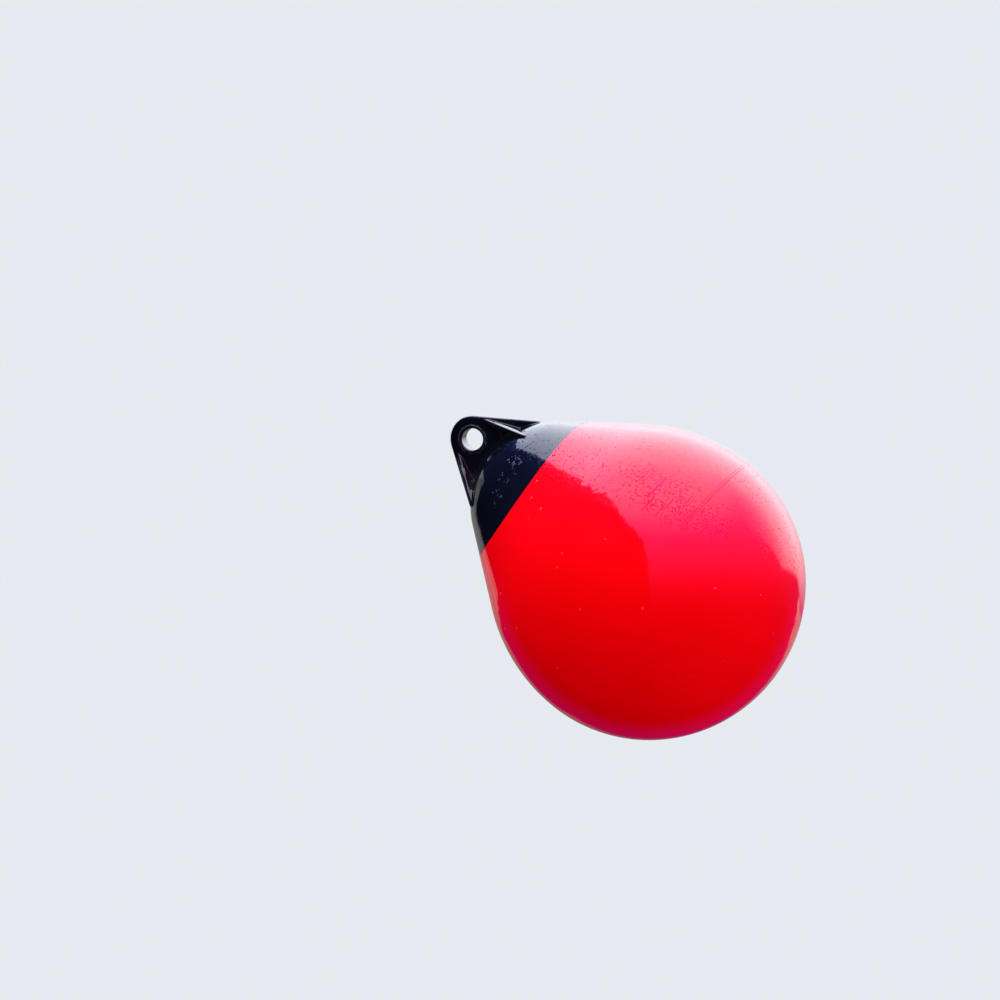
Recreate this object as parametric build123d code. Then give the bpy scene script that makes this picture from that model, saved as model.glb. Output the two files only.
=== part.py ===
from build123d import *
from math import acos, atan2, cos, hypot, pi, radians, sin, sqrt, tan
import os

# Round inflatable buoy: a blown vinyl skin, closed at the top by a solid ribbed eye end that
# takes the mooring rope, and at the bottom by a screwed air valve. Millimetres.
# The origin is the centre of the rope hole. +Z runs along the buoy's axis, out through the
# tip of the eye, Y along the rope hole and X across the flat of the eye plate.

# Inflated body
BODY_RADIUS = 275.0
SHOULDER_RADIUS = 315.0
CONE_HALF_ANGLE = 36.5
FLANK_RADIUS = 269.0
FLANK_SWEEP = 45.0
SKIN = 2.8

# Eye end: skirt, domed cap and the lap that the skin is welded over
SKIRT_DROP = 147.0
CAP_BLEND_RADIUS = 123.0
CAP_BLEND_DROP = 100.7
CAP_WALL = 10.0
LAP_LENGTH = 30.0
LAP_WALL = 4.0
HOLLOW_OVERRUN = 5.0

# Eye plate and its rope hole
EYE_RADIUS = 42.0
EYE_THICKNESS = 30.0
PLATE_ROUND = 4.5
HOLE_RADIUS = 19.5
HOLE_ROUND = 4.0
LIP_WIDTH = 6.0
LIP_HEIGHT = 3.0
LIP_ROUND = 2.0

# Feet of the plate and of the ribs: reach from the axis, and how far the ribs' feet stand ahead
FOOT_REACH = 103.0
RIB_FOOT_AHEAD = 6.0
FOOT_HEIGHT = 3.0
FOOT_ROUND = 9.0
FOOT_SINK = 16.0

# Ribs beside the eye, two on each face of the plate
RIB_THICKNESS = 8.0
RIB_ROUND = 3.4
RIB_HEAD_INSET = 6.5
RIB_HEAD_RISE = 12.0
RIB_HEAD_SINK = 2.0
RIB_FOOT_INSET = 25.5
RIB_RIDGE = 4.0
RIB_RIDGE_RUN = 16.0
RIB_RIDGE_ROUND = 40.0
RIB_BULGE = 2.0
ROOT_ROUND = 3.0

# Air valve at the bottom
PAD_RADIUS = 42.0
PAD_THICKNESS = 8.0
VALVE_NECK_RADIUS = 17.0
VALVE_FLANGE_RADIUS = 32.0
VALVE_FLANGE = 3.0
VALVE_BARREL_RADIUS = 13.0
VALVE_DEPTH = 24.0
THREAD_RADIUS = 9.0
THREAD_DEPTH = 18.0
AIR_HOLE_RADIUS = 2.5
PLUG_HEAD_RADIUS = 13.6
PLUG_HEAD = 3.0
PLUG_STEM = 11.0
PLUG_SLOT_LENGTH = 19.0
PLUG_SLOT_WIDTH = 2.4
PLUG_SLOT_DEPTH = 1.6
PLUG_EDGE = 0.6
WASHER = 1.6
WASHER_INSET = 0.6
WASHER_CLEARANCE = 0.2
HEAD_CLEARANCE = 0.4
THREAD_CLEARANCE = 0.1
PLUG_RECESS = 0.3

CONE = radians(CONE_HALF_ANGLE)
TANGENT_RADIUS = BODY_RADIUS - SHOULDER_RADIUS * (1 - cos(CONE))
TANGENT_Z = -CAP_BLEND_DROP - (TANGENT_RADIUS - CAP_BLEND_RADIUS) / tan(CONE)
EQUATOR_Z = TANGENT_Z - SHOULDER_RADIUS * sin(CONE)
SHOULDER_CENTRE = (BODY_RADIUS - SHOULDER_RADIUS, EQUATOR_Z)
FLANK_CENTRE = (BODY_RADIUS - FLANK_RADIUS, EQUATOR_Z)
CROWN_Z = EQUATOR_Z + FLANK_CENTRE[0] * tan(radians(FLANK_SWEEP))
CROWN_RADIUS = FLANK_RADIUS + FLANK_CENTRE[0] / cos(radians(FLANK_SWEEP))
POLE_Z = CROWN_Z - CROWN_RADIUS
LAP_Z = -SKIRT_DROP - LAP_LENGTH * cos(CONE)
CAP_RADIUS = CAP_BLEND_RADIUS / cos(CONE)
CAP_CENTRE_Z = -CAP_BLEND_DROP - CAP_RADIUS * sin(CONE)
CAP_TOP_Z = CAP_CENTRE_Z + CAP_RADIUS
RIB_FOOT_REACH = FOOT_REACH + RIB_FOOT_AHEAD
LIP_SPAN = EYE_THICKNESS + 2 * LIP_HEIGHT
PAD_Z = POLE_Z + PAD_THICKNESS
MOUTH_Z = CROWN_Z - sqrt(CROWN_RADIUS ** 2 - VALVE_NECK_RADIUS ** 2)
RECESS_DEPTH = PLUG_RECESS + PLUG_HEAD + WASHER


def arc_point(centre, radius, angle):
    """Point of a section arc, at an angle above the horizontal."""
    return (centre[0] + radius * cos(angle), centre[1] + radius * sin(angle))


def cone_point(z, inset=0.0):
    """Point of the cone's section that faces its outside at level z, moved in by inset."""
    radius = TANGENT_RADIUS - (z - TANGENT_Z) * tan(CONE)
    return (radius - inset * cos(CONE), z - inset * sin(CONE))


def crown_z(radius, inset=0.0):
    """Level of the bottom's outside at a radius, moved in by inset."""
    return CROWN_Z - sqrt((CROWN_RADIUS - inset) ** 2 - radius ** 2)


def turned(*edges):
    """Solid of revolution about Z from a half section in X and Z."""
    return revolve(make_face(Wire(list(edges))), Axis.Z, 360)


def section_line(start, end):
    return Line((start[0], 0, start[1]), (end[0], 0, end[1]))


def section_arc(start, middle, end):
    return ThreePointArc(*[(r, 0, z) for r, z in (start, middle, end)])


def chain(*points):
    """Straight section edges through the points in turn."""
    return [section_line(a, b) for a, b in zip(points, points[1:])]


def skin_edges(inset, top, last_radius):
    """One side of the skin's section: cone, shoulder, flank and crown, down to a radius."""
    flank_end = -radians(FLANK_SWEEP)
    tangent = arc_point(SHOULDER_CENTRE, SHOULDER_RADIUS - inset, CONE)
    shoulder_mid = arc_point(SHOULDER_CENTRE, SHOULDER_RADIUS - inset, CONE / 2)
    equator = arc_point(SHOULDER_CENTRE, SHOULDER_RADIUS - inset, 0)
    flank_mid = arc_point(FLANK_CENTRE, FLANK_RADIUS - inset, flank_end / 2)
    flank = arc_point(FLANK_CENTRE, FLANK_RADIUS - inset, flank_end)
    crown_radius = CROWN_RADIUS - inset
    crown_end = -acos(last_radius / crown_radius)
    crown_mid = arc_point((0, CROWN_Z), crown_radius, (flank_end + crown_end) / 2)
    crown = arc_point((0, CROWN_Z), crown_radius, crown_end)
    return [
        section_line(top, tangent),
        section_arc(tangent, shoulder_mid, equator),
        section_arc(equator, flank_mid, flank),
        section_arc(flank, crown_mid, crown),
    ]


def body_shell():
    """Red skin, open at the eye end, with a flat pad inside round the valve."""
    outer_top = cone_point(-SKIRT_DROP)
    inner_top = cone_point(-SKIRT_DROP, SKIN)
    outer = skin_edges(0, outer_top, VALVE_NECK_RADIUS)
    inner = skin_edges(SKIN, inner_top, PAD_RADIUS)
    pad = chain(
        (PAD_RADIUS, crown_z(PAD_RADIUS, SKIN)),
        (PAD_RADIUS, PAD_Z),
        (VALVE_NECK_RADIUS, PAD_Z),
        (VALVE_NECK_RADIUS, crown_z(VALVE_NECK_RADIUS)),
    )
    return turned(section_line(inner_top, outer_top), *outer, *inner, *pad)


def cap_section(inset):
    """Dome of the cap, moved in by inset: its section edge and the point where it meets the cone."""
    end = arc_point((0, CAP_CENTRE_Z), CAP_RADIUS - inset, CONE)
    middle = arc_point((0, CAP_CENTRE_Z), CAP_RADIUS - inset, (CONE + pi / 2) / 2)
    return section_arc((0, CAP_TOP_Z - inset), middle, end), end


def eye_core():
    """Cone and cap of the eye end as a solid, with the step for the skin and the lap under it."""
    dome, blend = cap_section(0)
    step = chain(
        blend,
        cone_point(-SKIRT_DROP),
        cone_point(-SKIRT_DROP, SKIN),
        cone_point(LAP_Z, SKIN),
        (0, cone_point(LAP_Z, SKIN)[1]),
        (0, CAP_TOP_Z),
    )
    return turned(dome, *step)


def eye_hollow():
    """Air space inside the eye end, open downwards into the body."""
    dome, blend = cap_section(CAP_WALL)
    foot = cone_point(LAP_Z, SKIN + LAP_WALL)
    opening = (foot[0], foot[1] - HOLLOW_OVERRUN)
    shoulder = cone_point(-SKIRT_DROP, SKIN + LAP_WALL)
    sides = chain(blend, shoulder, foot, opening, (0, opening[1]), (0, CAP_TOP_Z - CAP_WALL))
    return turned(dome, *sides)


def foot_z(reach):
    """Level of a foot at a reach from the axis, a little above the cap."""
    return CAP_CENTRE_Z + sqrt(CAP_RADIUS ** 2 - reach ** 2) + FOOT_HEIGHT


def nearest(vertices, point):
    return vertices.sort_by_distance(point)[0]


def eye_plate():
    """Flat plate whose sides run from inside the cap up to the rounded tip round the hole."""
    foot = (FOOT_REACH, foot_z(FOOT_REACH))
    slope = atan2(foot[1], foot[0]) + acos(EYE_RADIUS / hypot(*foot))
    touch = arc_point((0, 0), EYE_RADIUS, slope)
    right = [(foot[0], foot[1] - FOOT_SINK), foot, touch]
    left = [(-x, z) for x, z in reversed(right)]
    outline = chain(*right) + [section_arc(touch, (0, EYE_RADIUS), left[0])] + chain(*left, right[0])
    profile = make_face(Wire(outline))
    corners = [nearest(profile.vertices(), (side * foot[0], 0, foot[1])) for side in (-1, 1)]
    plate = extrude(fillet(corners, FOOT_ROUND), EYE_THICKNESS / 2, (0, 1, 0), both=True)
    faces = plate.faces().sort_by(Axis.Y)
    rims = faces[0].edges() + faces[-1].edges()
    return fillet(rims.filter_by(lambda edge: edge.center().Z > foot[1] - FOOT_SINK / 2), PLATE_ROUND)


def eye_lip():
    """Raised ring round the rope hole on both faces of the plate."""
    ring = Cylinder(HOLE_RADIUS + LIP_WIDTH, LIP_SPAN, rotation=(90, 0, 0))
    return fillet(ring.edges().filter_by(GeomType.CIRCLE), LIP_ROUND)


def rope_bore():
    """Cutter for the rope hole, flared at both mouths so that it doesn't chafe the rope."""
    half = LIP_SPAN / 2
    flare = HOLE_ROUND * (1 - cos(radians(45)))
    profile = [
        Line((0, 0, 0), (HOLE_RADIUS, 0, 0)),
        Line((HOLE_RADIUS, 0, 0), (HOLE_RADIUS, 0, half - HOLE_ROUND)),
        ThreePointArc(
            (HOLE_RADIUS, 0, half - HOLE_ROUND),
            (HOLE_RADIUS + flare, 0, half - flare),
            (HOLE_RADIUS + HOLE_ROUND, 0, half),
        ),
        Line((HOLE_RADIUS + HOLE_ROUND, 0, half), (0, 0, half)),
        Line((0, 0, half), (0, 0, 0)),
    ]
    mouth = revolve(make_face(Wire(profile)), Axis.Z, 360)
    bore = mouth + mirror(mouth, Plane.XY)
    return bore.rotate(Axis.X, 90)


def rib(side, face):
    """Wall on one face of the plate: a low ridge beside the eye that grows down to the cap."""
    head = Vector(side * (EYE_RADIUS - RIB_HEAD_INSET), 0, RIB_HEAD_RISE)
    run = Vector(side * (FOOT_REACH - RIB_FOOT_INSET), 0, foot_z(RIB_FOOT_REACH)) - head
    along = run.normalized()
    foot = (run.length, sqrt(RIB_FOOT_REACH ** 2 - (FOOT_REACH - RIB_FOOT_INSET) ** 2))
    start = (0, EYE_THICKNESS / 2 - RIB_HEAD_SINK)
    ridge = (RIB_RIDGE_RUN, EYE_THICKNESS / 2 + RIB_RIDGE)
    middle = ((ridge[0] + foot[0]) / 2, (ridge[1] + foot[1]) / 2 + RIB_BULGE)
    sink = (foot[0] + FOOT_SINK / 2, foot[1] - FOOT_SINK / 2)
    outline = [
        Line(start, ridge),
        ThreePointArc(ridge, middle, foot),
        Line(foot, sink),
        Line(sink, (sink[0], 0)),
        Line((sink[0], 0), (0, 0)),
        Line((0, 0), start),
    ]
    profile = make_face(Wire(outline))
    profile = fillet(nearest(profile.vertices(), ridge), RIB_RIDGE_ROUND)
    profile = fillet(nearest(profile.vertices(), foot), FOOT_ROUND)
    plane = Plane(origin=head, x_dir=along, z_dir=along.cross(Vector(0, face, 0)))
    wall = extrude(plane * profile, RIB_THICKNESS / 2, both=True)
    sides = wall.faces().sort_by(SortBy.AREA)[-2:]
    rims = [(edge, edge.center() - head) for edge in sides[0].edges() + sides[1].edges()]
    crest = [
        edge
        for edge, place in rims
        if face * place.Y > start[1] and place.dot(along) < foot[0] + FOOT_SINK / 4
    ]
    return fillet(crest, RIB_ROUND)


def rope_hold():
    """Solid vinyl eye end: skirt, cap, pierced eye plate and the ribs that flank the eye."""
    pieces = [eye_core(), eye_plate()]
    pieces += [rib(side, face) for side in (-1, 1) for face in (-1, 1)]
    joined = pieces[0]
    for piece in pieces[1:]:
        joined += piece
    roots = new_edges(*pieces, combined=joined)
    hold = fillet(roots, ROOT_ROUND) + eye_lip()
    return hold - eye_hollow() - rope_bore()


def valve_seat():
    """Hard housing set in the skin: flange inside, recess for the plug's head, blind thread."""
    barrel_top = MOUTH_Z + VALVE_DEPTH
    thread_top = MOUTH_Z + RECESS_DEPTH + THREAD_DEPTH
    recess_radius = PLUG_HEAD_RADIUS + HEAD_CLEARANCE
    section = chain(
        (VALVE_NECK_RADIUS, MOUTH_Z),
        (VALVE_NECK_RADIUS, PAD_Z),
        (VALVE_FLANGE_RADIUS, PAD_Z),
        (VALVE_FLANGE_RADIUS, PAD_Z + VALVE_FLANGE),
        (VALVE_BARREL_RADIUS, PAD_Z + VALVE_FLANGE),
        (VALVE_BARREL_RADIUS, barrel_top),
        (AIR_HOLE_RADIUS, barrel_top),
        (AIR_HOLE_RADIUS, thread_top),
        (THREAD_RADIUS, thread_top),
        (THREAD_RADIUS, MOUTH_Z + RECESS_DEPTH),
        (recess_radius, MOUTH_Z + RECESS_DEPTH),
        (recess_radius, MOUTH_Z),
        (VALVE_NECK_RADIUS, MOUTH_Z),
    )
    return turned(*section)


def valve_plug():
    """Screw plug with a coin slot across its flat head; the head's rim and the stem's end are cut back."""
    head_z = MOUTH_Z + PLUG_RECESS
    washer_z = head_z + PLUG_HEAD
    stem_z = washer_z + WASHER + PLUG_STEM
    stem_radius = THREAD_RADIUS - THREAD_CLEARANCE
    section = chain(
        (0, head_z),
        (PLUG_HEAD_RADIUS - PLUG_EDGE, head_z),
        (PLUG_HEAD_RADIUS, head_z + PLUG_EDGE),
        (PLUG_HEAD_RADIUS, washer_z),
        (stem_radius, washer_z),
        (stem_radius, stem_z - PLUG_EDGE),
        (stem_radius - PLUG_EDGE, stem_z),
        (0, stem_z),
        (0, head_z),
    )
    slot = Pos(0, 0, head_z) * Box(PLUG_SLOT_LENGTH, PLUG_SLOT_WIDTH, 2 * PLUG_SLOT_DEPTH)
    return turned(*section) - slot


def valve_washer():
    """Soft ring between the plug's head and the bottom of its recess."""
    low = MOUTH_Z + PLUG_RECESS + PLUG_HEAD
    outer = PLUG_HEAD_RADIUS - WASHER_INSET
    inner = THREAD_RADIUS + WASHER_CLEARANCE
    section = chain(
        (inner, low),
        (outer, low),
        (outer, low + WASHER),
        (inner, low + WASHER),
        (inner, low),
    )
    return turned(*section)


def build():
    os.makedirs("parts", exist_ok=True)
    nodes = {
        "body_shell": body_shell(),
        "rope_hold": rope_hold(),
        "valve_seat": valve_seat(),
        "valve_plug": valve_plug(),
        "valve_washer": valve_washer(),
    }
    for name, shape in nodes.items():
        shape.label = name
        export_step(shape, os.path.join("parts", name + ".step"))


build()
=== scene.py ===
"""Looks of an inflatable round mooring buoy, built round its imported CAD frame.

The buoy hangs with its rope eye up, as in the frame: a glossy red vinyl skin, a navy moulded
eye end with four ribs, and a screwed air valve at the bottom pole. Metres, +Z out through the
eye's tip.
"""

import logging
import math
from collections.abc import Callable
from dataclasses import dataclass
from enum import Enum
from functools import partialmethod

import bmesh
import bpy
from mathutils import Matrix, Vector


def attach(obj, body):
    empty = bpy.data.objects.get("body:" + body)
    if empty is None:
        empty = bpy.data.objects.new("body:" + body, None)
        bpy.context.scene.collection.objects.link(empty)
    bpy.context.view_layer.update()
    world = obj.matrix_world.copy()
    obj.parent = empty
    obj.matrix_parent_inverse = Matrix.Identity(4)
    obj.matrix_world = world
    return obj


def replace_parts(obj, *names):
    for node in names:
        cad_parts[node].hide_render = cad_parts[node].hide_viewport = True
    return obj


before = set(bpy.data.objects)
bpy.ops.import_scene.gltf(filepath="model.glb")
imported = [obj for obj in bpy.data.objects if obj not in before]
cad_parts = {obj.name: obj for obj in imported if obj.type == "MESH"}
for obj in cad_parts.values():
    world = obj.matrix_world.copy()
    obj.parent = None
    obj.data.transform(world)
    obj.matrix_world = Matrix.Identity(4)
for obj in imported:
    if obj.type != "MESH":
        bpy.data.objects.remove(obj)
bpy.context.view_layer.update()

LOG = logging.getLogger("buoy")
PICTURE = 1000
MERGE = 1e-6
Node = bpy.types.Node
Outputs = bpy.types.NodeOutputs
Socket = bpy.types.NodeSocket
Mesh = bmesh.types.BMesh
Value = float | tuple | Socket
Pair = tuple[float, float]
Triple = tuple[float, float, float]
Span = tuple[float, float, float, float]
Colour = Triple
Pattern = tuple[float, ...]
Stops = tuple[Pair, ...]


class Body(Enum):
    """The moving bodies of the frame."""

    BUOY = "buoy"
    WASHER = "washer"
    PLUG = "plug"


class Slot(Enum):
    """The record's material slots."""

    RED_VINYL = "red_vinyl"
    BLUE_VINYL = "blue_vinyl"
    VALVE_PLASTIC = "valve_plastic"
    PLUG_PLASTIC = "plug_plastic"
    WASHER_RUBBER = "washer_rubber"


class Bench:
    """Lays out shader nodes in one node tree."""

    def __init__(self, tree: bpy.types.NodeTree) -> None:
        """Starts an empty tree.

        Args:
            tree: The node tree to fill.
        """
        self.tree = tree
        tree.nodes.clear()

    def feed(self, socket: Socket, value: Value) -> None:
        """Links a socket to another, or sets its value.

        Args:
            socket: The input socket.
            value: An output socket, a number, a place or a colour.
        """
        if isinstance(value, Socket):
            self.tree.links.new(value, socket)
        else:
            socket.default_value = (*value, 1.0) if socket.type == "RGBA" else value

    def add(self, kind: str, inputs: dict | None = None, **settings: object) -> Node:
        """Adds a node.

        Args:
            kind: The node's type without its ShaderNode prefix.
            inputs: Values for its inputs, by name or number.
            **settings: Values for the node's own properties.

        Returns:
            The new node.
        """
        node = self.tree.nodes.new("ShaderNode" + kind)
        for name, value in settings.items():
            setattr(node, name, value)
        for key, value in (inputs or {}).items():
            self.feed(node.inputs[key], value)
        return node

    def math(self, operation: str, *values: Value, clamp: bool = False) -> Socket:
        """Returns what Math nodes make of values, joined one after another."""
        made = values[0]
        for value in values[1:] or (0.0,):
            node = self.add("Math", {0: made, 1: value}, operation=operation, use_clamp=clamp)
            made = node.outputs[0]
        return made

    plus = partialmethod(math, "ADD")
    minus = partialmethod(math, "SUBTRACT")
    times = partialmethod(math, "MULTIPLY")
    over = partialmethod(math, "DIVIDE")
    most = partialmethod(math, "MAXIMUM")
    size = partialmethod(math, "ABSOLUTE")

    def turned(self, a: Value, b: Value) -> Socket:
        """Returns the angle of a pair of values as a share of a turn, 0.5 where a is 0."""
        return self.plus(self.over(self.math("ARCTAN2", a, b), math.tau), 0.5)

    def vector(self, operation: str, a: Value, b: Value) -> Node:
        """Returns a Vector Math node for two vectors."""
        return self.add("VectorMath", {0: a, 1: b}, operation=operation)

    def dot(self, a: Value, b: Value) -> Socket:
        """Returns the dot product of two vectors."""
        return self.vector("DOT_PRODUCT", a, b).outputs["Value"]

    def bent(self, a: Value, factor: Value, place: Value) -> Socket:
        """Returns a place, moved by a vector times a factor."""
        node = self.vector("MULTIPLY_ADD", a, factor)
        self.feed(node.inputs[2], place)
        return node.outputs[0]

    def scaled(self, colour: Value, strength: Value) -> Socket:
        """Returns a colour times a strength."""
        node = self.add("VectorMath", operation="SCALE")
        self.feed(node.inputs[0], colour)
        self.feed(node.inputs["Scale"], strength)
        return node.outputs[0]

    def blend(self, share: Value, first: Node, second: Node) -> Node:
        """Returns a mix of two shaders."""
        return self.add("MixShader", {0: share, 1: first.outputs[0], 2: second.outputs[0]})

    def noise(
        self, place: Value, scale: Value, detail: float = 2.0, rough: float = 0.5
    ) -> Socket:
        """Returns the value of a Noise texture at a place."""
        inputs = {"Vector": place, "Scale": scale, "Detail": detail, "Roughness": rough}
        return self.add("TexNoise", inputs).outputs[0]

    def span(
        self, value: Value, low: float, high: float, start: Value = 0.0, end: Value = 1.0
    ) -> Socket:
        """Maps a value from low..high to start..end, with soft ends and kept inside them."""
        inputs = {0: value, "From Min": low, "From Max": high, "To Min": start, "To Max": end}
        return self.add("MapRange", inputs, interpolation_type="SMOOTHSTEP").outputs[0]

    def pattern(self, place: Value, numbers: Pattern) -> Socket:
        """Returns a span of a noise at a place.

        Args:
            place: Coordinates of the noise.
            numbers: The noise's scale, detail and roughness, and then the span's numbers.
        """
        return self.span(self.noise(place, *numbers[:3]), *numbers[3:])

    def mix(self, share: Value, a: Value, b: Value) -> Socket:
        """Returns a mix of two colours."""
        node = self.add("Mix", data_type="RGBA")
        self.feed(node.inputs[0], share)
        self.feed(node.inputs[6], a)
        self.feed(node.inputs[7], b)
        return node.outputs[2]

    def ramp(self, value: Value, stops: Stops) -> Socket:
        """Returns a straight colour ramp of a value.

        Args:
            value: What the ramp reads.
            stops: Pairs of a place from 0 to 1 and a grey value.
        """
        node = self.add("ValToRGB", {0: value})
        ramp = node.color_ramp
        ramp.interpolation = "LINEAR"
        while len(ramp.elements) < len(stops):
            ramp.elements.new(1.0)
        for element, (place, grey) in zip(ramp.elements, stops):
            element.position = place
            element.color = (grey, grey, grey, 1.0)
        return node.outputs[0]

    def bump(self, height: Value, depth: float, normal: Value | None = None) -> Socket:
        """Returns a normal that a height map bends.

        Args:
            height: The height map, 0 to 1.
            depth: The height in metres that 1 stands for.
            normal: The normal to bend, if not the surface's own.
        """
        node = self.add("Bump", {"Height": height, "Distance": depth, "Strength": 1.0})
        if normal is not None:
            self.feed(node.inputs["Normal"], normal)
        return node.outputs[0]


def half_sine(degrees: float) -> float:
    """Returns an elevation as a height from 0 to 1."""
    return 0.5 + 0.5 * math.sin(math.radians(degrees))


def cosine(degrees: float) -> float:
    """Returns the cosine of an angle in degrees."""
    return math.cos(math.radians(degrees))


def compass(table: Stops, read: Callable[[float], float] = float) -> Stops:
    """Returns ramp stops for a table of angles in degrees and values.

    Args:
        table: Pairs of an angle from -180 to 180 and a value.
        read: What turns a value into a grey.
    """
    return tuple((0.5 + angle / 360.0, read(value)) for angle, value in table)


@dataclass(frozen=True)
class Effect:
    """A shader node group that several finishes share."""

    name: str
    numbers: tuple[str, ...]

    def group(self) -> bpy.types.NodeTree:
        """Returns the group, made on first use."""
        made = bpy.data.node_groups.get(self.name)
        if made is None:
            made = bpy.data.node_groups.new(self.name, "ShaderNodeTree")
            bench = Bench(made)
            made.interface.new_socket("Place", in_out="INPUT", socket_type="NodeSocketVector")
            for number in self.numbers:
                made.interface.new_socket(number, in_out="INPUT", socket_type="NodeSocketFloat")
            made.interface.new_socket("Mask", in_out="OUTPUT", socket_type="NodeSocketFloat")
            entry = made.nodes.new("NodeGroupInput")
            leave = made.nodes.new("NodeGroupOutput")
            made.links.new(self.draw(bench, entry.outputs), leave.inputs["Mask"])
        return made

    def draw(self, bench: Bench, given: Outputs) -> Socket:
        """Lays out the group's nodes and returns its mask."""
        raise NotImplementedError

    def lay(self, bench: Bench, place: Value, *values: Value) -> Socket:
        """Places the group in a material.

        Args:
            bench: The material's bench.
            place: Coordinates for the pattern.
            *values: The group's numbers in order.

        Returns:
            The group's mask.
        """
        node = bench.tree.nodes.new("ShaderNodeGroup")
        node.node_tree = self.group()
        bench.feed(node.inputs["Place"], place)
        for name, value in zip(self.numbers, values):
            bench.feed(node.inputs[name], value)
        return node.outputs["Mask"]


@dataclass(frozen=True)
class Marks(Effect):
    """Fine marks: stretched noise, bent a little, thinned and kept to patches.

    Noises are scale and detail, and spans are arguments of Bench.span.
    """

    numbers: tuple[str, ...] = ("Scale", "Stretch", "Patch")
    detail: float = 2.0
    wobble: Pair = (30.0, 1.0)
    bend: Triple = (0.02, 0.02, 0.03)
    patch: Pair = (22.0, 2.0)
    lift: Span = (0.55, 1.45, -0.2, 0.03)
    cut: Pair = (0.61, 0.69)

    def draw(self, bench: Bench, given: Outputs) -> Socket:
        """Lays out the bent noise and its patches."""
        place = given["Place"]
        split = bench.add("SeparateXYZ", {0: place}).outputs
        level = bench.times(split[2], given["Stretch"])
        drawn = bench.add("CombineXYZ", {0: split[0], 1: split[1], 2: level}).outputs[0]
        inputs = {"Vector": place, "Scale": self.wobble[0], "Detail": self.wobble[1]}
        wobble = bench.add("TexNoise", inputs).outputs[1]
        fine = bench.noise(bench.bent(wobble, self.bend, drawn), given["Scale"], self.detail)
        patch = bench.plus(bench.noise(place, *self.patch), given["Patch"])
        return bench.span(bench.plus(fine, bench.span(patch, *self.lift)), *self.cut)


@dataclass(frozen=True)
class Pimples(Effect):
    """Small round raised spots, scattered and of mixed sizes."""

    name: str = "SmallPimples"
    numbers: tuple[str, ...] = ("Scale", "Share")
    sizes: Pair = (0.06, 0.15)

    def draw(self, bench: Bench, given: Outputs) -> Socket:
        """Lays out cells, some of which hold a dome."""
        cells = bench.add("TexVoronoi", {"Vector": given["Place"], "Randomness": 1.0})
        bench.feed(cells.inputs["Scale"], given["Scale"])
        pick = bench.add("SeparateColor", {0: cells.outputs["Color"]})
        size = bench.span(pick.outputs[1], 0.0, 1.0, *self.sizes)
        reach = bench.over(cells.outputs["Distance"], size)
        dome = bench.math("SUBTRACT", 1.0, bench.times(reach, reach), clamp=True)
        chosen = bench.math("LESS_THAN", pick.outputs[0], given["Share"])
        return bench.times(bench.math("SQRT", dome), chosen)


@dataclass(frozen=True)
class PaintedCornerShade(Effect):
    """Painted shade in the corners and creases where surfaces meet, which the finishes also make
    duller.
    """

    name: str = "PaintedCornerShade"
    numbers: tuple[str, ...] = ("Reach",)
    samples: int = 8
    closed_span: Pair = (0.25, 0.8)
    blot: Pattern = (70.0, 4.0, 0.65, 0.35, 0.65)

    def draw(self, bench: Bench, given: Outputs) -> Socket:
        """Lays out an occlusion mask, the painted shade, broken by noise."""
        open_sky = bench.add("AmbientOcclusion", samples=self.samples)
        bench.feed(open_sky.inputs["Distance"], given["Reach"])
        closed = bench.span(bench.minus(1.0, open_sky.outputs["AO"]), *self.closed_span)
        return bench.times(closed, bench.pattern(given["Place"], self.blot))


@dataclass(frozen=True)
class EdgeRub(Effect):
    """Wear along raised edges."""

    name: str = "EdgeRub"
    numbers: tuple[str, ...] = ("Width",)
    samples: int = 6
    turn_span: Pair = (0.01, 0.09)
    blot: Pattern = (160.0, 3.0, 0.6, 0.4, 0.6)

    def draw(self, bench: Bench, given: Outputs) -> Socket:
        """Lays out the angle between the true and the rounded normal, broken by noise."""
        rounded = bench.add("Bevel", samples=self.samples)
        bench.feed(rounded.inputs["Radius"], given["Width"])
        true = bench.add("NewGeometry").outputs["Normal"]
        turn = bench.span(bench.minus(1.0, bench.dot(rounded.outputs[0], true)), *self.turn_span)
        return bench.times(turn, bench.pattern(given["Place"], self.blot))


TICKS = Marks("RubbedTicks")
SCRATCHES = Marks(
    "LongScratches",
    detail=1.0,
    wobble=(12.0, 2.0),
    bend=(0.0153846, 0.0153846, 0.107692),
    patch=(16.0, 2.0),
    lift=(0.6, 1.4, -0.25, 0.03),
    cut=(0.62, 0.72),
)


@dataclass(frozen=True)
class Finish:
    """What every finish has: its slot and its plain colour."""

    slot: Slot
    colour: Colour

    def material(self) -> bpy.types.Material:
        """Returns the finish's material, made on first use."""
        name = self.slot.value + "_finish"
        made = bpy.data.materials.get(name)
        if made is None:
            made = bpy.data.materials.new(name)
            made.use_nodes = True
            bench = Bench(made.node_tree)
            shader = bench.add("BsdfPrincipled")
            output = bench.add("OutputMaterial", {"Surface": shader.outputs[0]})
            output.is_active_output = True
            self.dress(bench, shader, bench.add("TexCoord").outputs["Object"])
        return made

    def dress(self, bench: Bench, shader: Node, place: Socket) -> None:
        """Wires the finish's nodes into its shader."""
        raise NotImplementedError


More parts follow.
